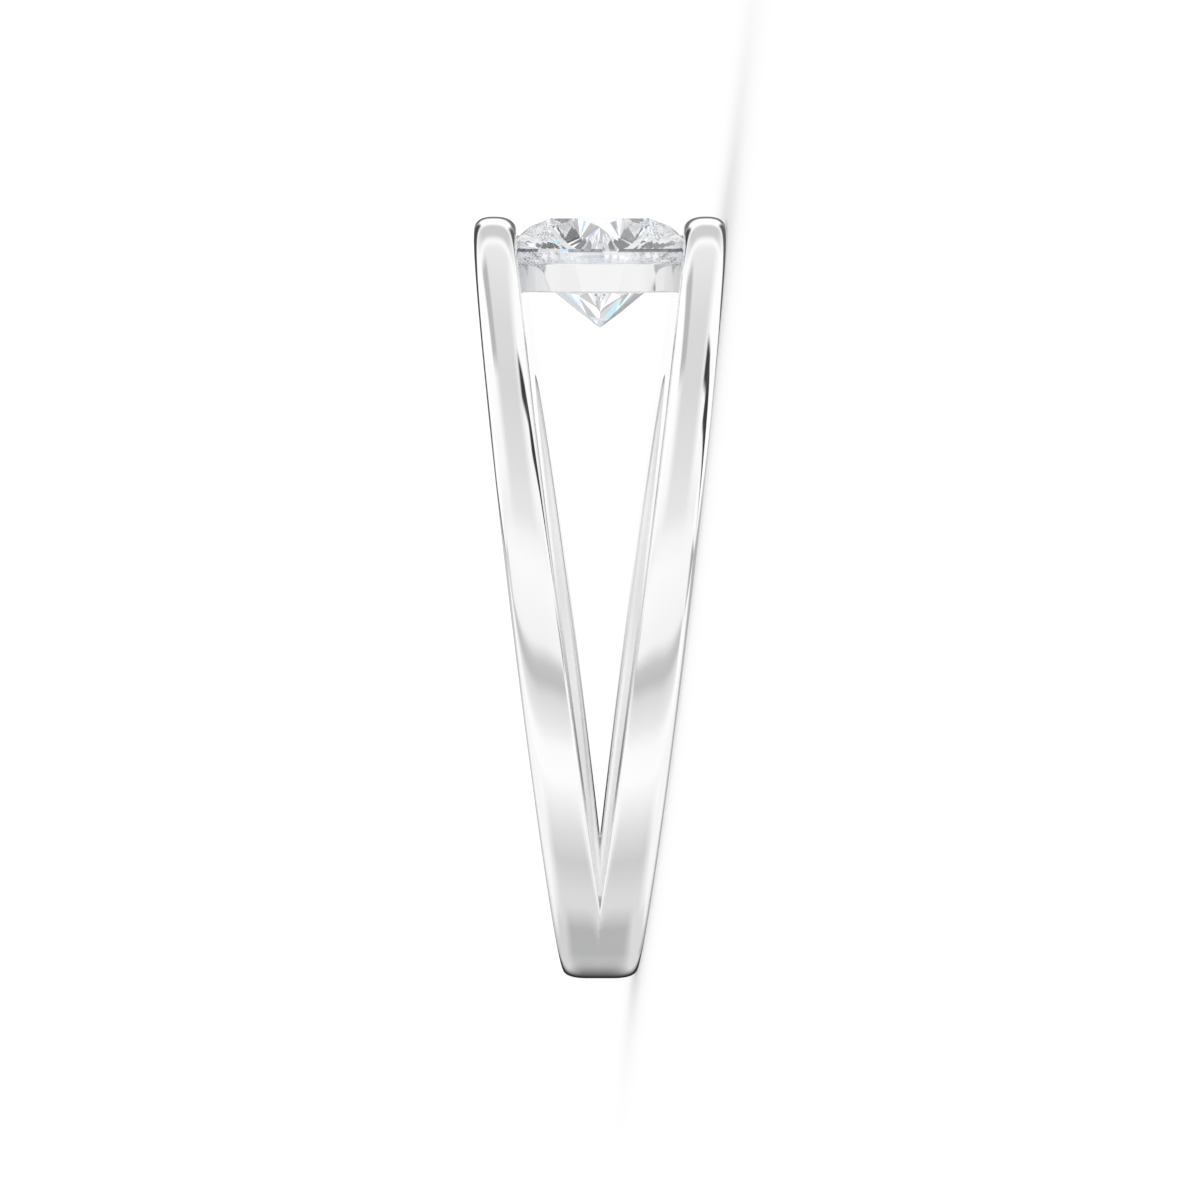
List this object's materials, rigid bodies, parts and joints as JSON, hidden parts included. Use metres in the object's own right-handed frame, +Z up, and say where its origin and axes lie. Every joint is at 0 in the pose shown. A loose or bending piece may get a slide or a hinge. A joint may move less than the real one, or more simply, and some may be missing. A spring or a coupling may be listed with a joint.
{
  "type": "diamond engagement ring",
  "caption": "Engagement ring with a round brilliant diamond held between flat bars that spread in a V from a shared base, tied by a plain collar under the stone",
  "frame": {"origin": "Under the middle of the ring as it lies, on the surface that carries it.", "axes": "+X points from the base to the stone, +Y across the ring, +Z up from the outer face of the bar that it lies on."},
  "size_m": [0.0232, 0.023, 0.0075],
  "materials": {
    "split_shank": "polished white gold",
    "diamond": "clear, cut and polished"
  },
  "bodies": {
    "root": {"split_shank": "split_shank", "diamond": "diamond"}
  },
  "joints": []
}
